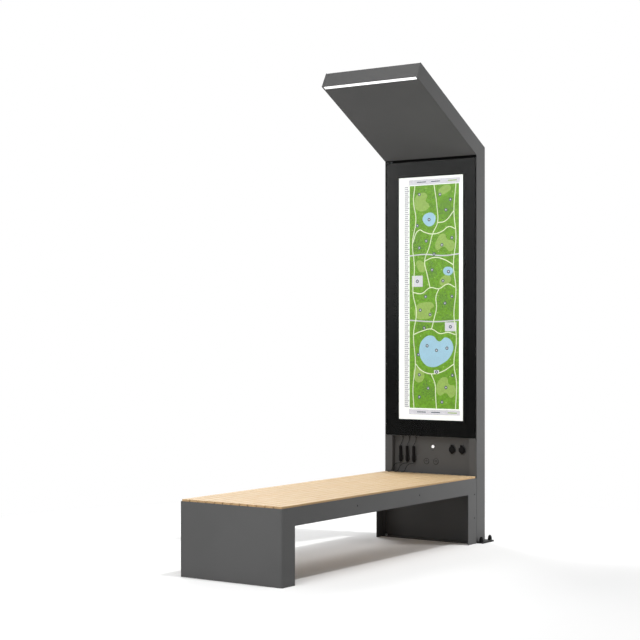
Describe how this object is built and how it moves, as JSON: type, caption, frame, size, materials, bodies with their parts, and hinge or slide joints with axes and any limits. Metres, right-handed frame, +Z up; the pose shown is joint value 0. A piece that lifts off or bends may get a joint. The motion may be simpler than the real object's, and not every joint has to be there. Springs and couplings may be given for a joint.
{
  "type": "solar charging bench",
  "caption": "Slatted public bench in a folded steel frame, joined to a flat column with a glazed poster door, a charging niche and a sloping solar canopy.",
  "frame": {"origin": "on the ground under the middle of the whole object's box", "axes": "+X across the bench, +Y along it from the free end to the column, +Z up"},
  "size_m": [0.815, 2.374, 3.121],
  "materials": {
    "paint": "powder coat, fine satin, grey",
    "wood": "planed and oiled larch slats",
    "zinc": "galvanised sheet",
    "aluminium": "anodised extrusion",
    "glass": "toughened glass",
    "border": "black screen print behind glass",
    "paper": "printed poster paper",
    "opal": "opal acrylic",
    "cells": "solar laminate",
    "black": "black moulded plastic",
    "rubber": "black soft cover",
    "grey": "dark grey moulded plastic"
  },
  "bodies": {
    "root": {"end_panel": "paint", "skirt_right": "paint", "skirt_left": "paint", "deck_bearer_1": "zinc", "deck_bearer_2": "zinc", "deck_bearer_3": "zinc", "deck_bearer_4": "zinc", "base_plate": "paint", "side_right": "paint", "side_left": "paint", "front_panel": "paint", "rear_cover": "paint", "stop_frame": "zinc", "mounting_plate": "zinc", "backlight_panel": "opal", "charge_controller": "grey", "battery": "black", "soffit": "paint", "fascia": "paint", "light_channel": "aluminium", "light_diffuser": "opal", "solar_frame": "aluminium", "solar_laminate": "cells", "junction_box": "black", "niche_tray": "paint", "niche_panel": "paint", "button_bezel": "grey", "port_left": "grey", "port_right": "grey", "socket_left": "grey", "socket_right": "grey", "slat_01": "wood", "slat_02": "wood", "slat_03": "wood", "slat_04": "wood", "slat_05": "wood", "slat_06": "wood", "slat_07": "wood", "slat_08": "wood", "slat_09": "wood", "slat_10": "wood", "slat_11": "wood", "slat_12": "wood", "lead_grip_1": "rubber", "lead_cord_1": "rubber", "lead_tip_1": "black", "lead_grip_2": "rubber", "lead_cord_2": "rubber", "lead_tip_2": "black", "lead_grip_3": "rubber", "lead_cord_3": "rubber", "lead_tip_3": "black"},
    "door": {"door_glass": "glass", "door_mask": "border", "door_frame": "aluminium", "poster": "paper", "poster_backer": "opal"},
    "lid_left": {"socket_lid_left": "rubber"},
    "lid_right": {"socket_lid_right": "rubber"},
    "button": {"light_button": "opal"}
  },
  "joints": [
    {"name": "door_hinge", "type": "hinge", "parent": "root", "child": "door", "pos_m": [-0.3415, 1.038, 0.702], "axis": [0, 0, -1], "range_deg": [0, 100]},
    {"name": "lid_left_hinge", "type": "hinge", "parent": "root", "child": "lid_left", "pos_m": [0.1535, 1.057, 0.647], "axis": [-1, 0, 0], "range_deg": [0, 100]},
    {"name": "lid_right_hinge", "type": "hinge", "parent": "root", "child": "lid_right", "pos_m": [0.2295, 1.057, 0.647], "axis": [-1, 0, 0], "range_deg": [0, 100]},
    {"name": "light_button_press", "type": "slide", "parent": "root", "child": "button", "axis": [0, 1, 0], "range_m": [0, 0.002], "stiffness_N_per_m": 400}
  ]
}
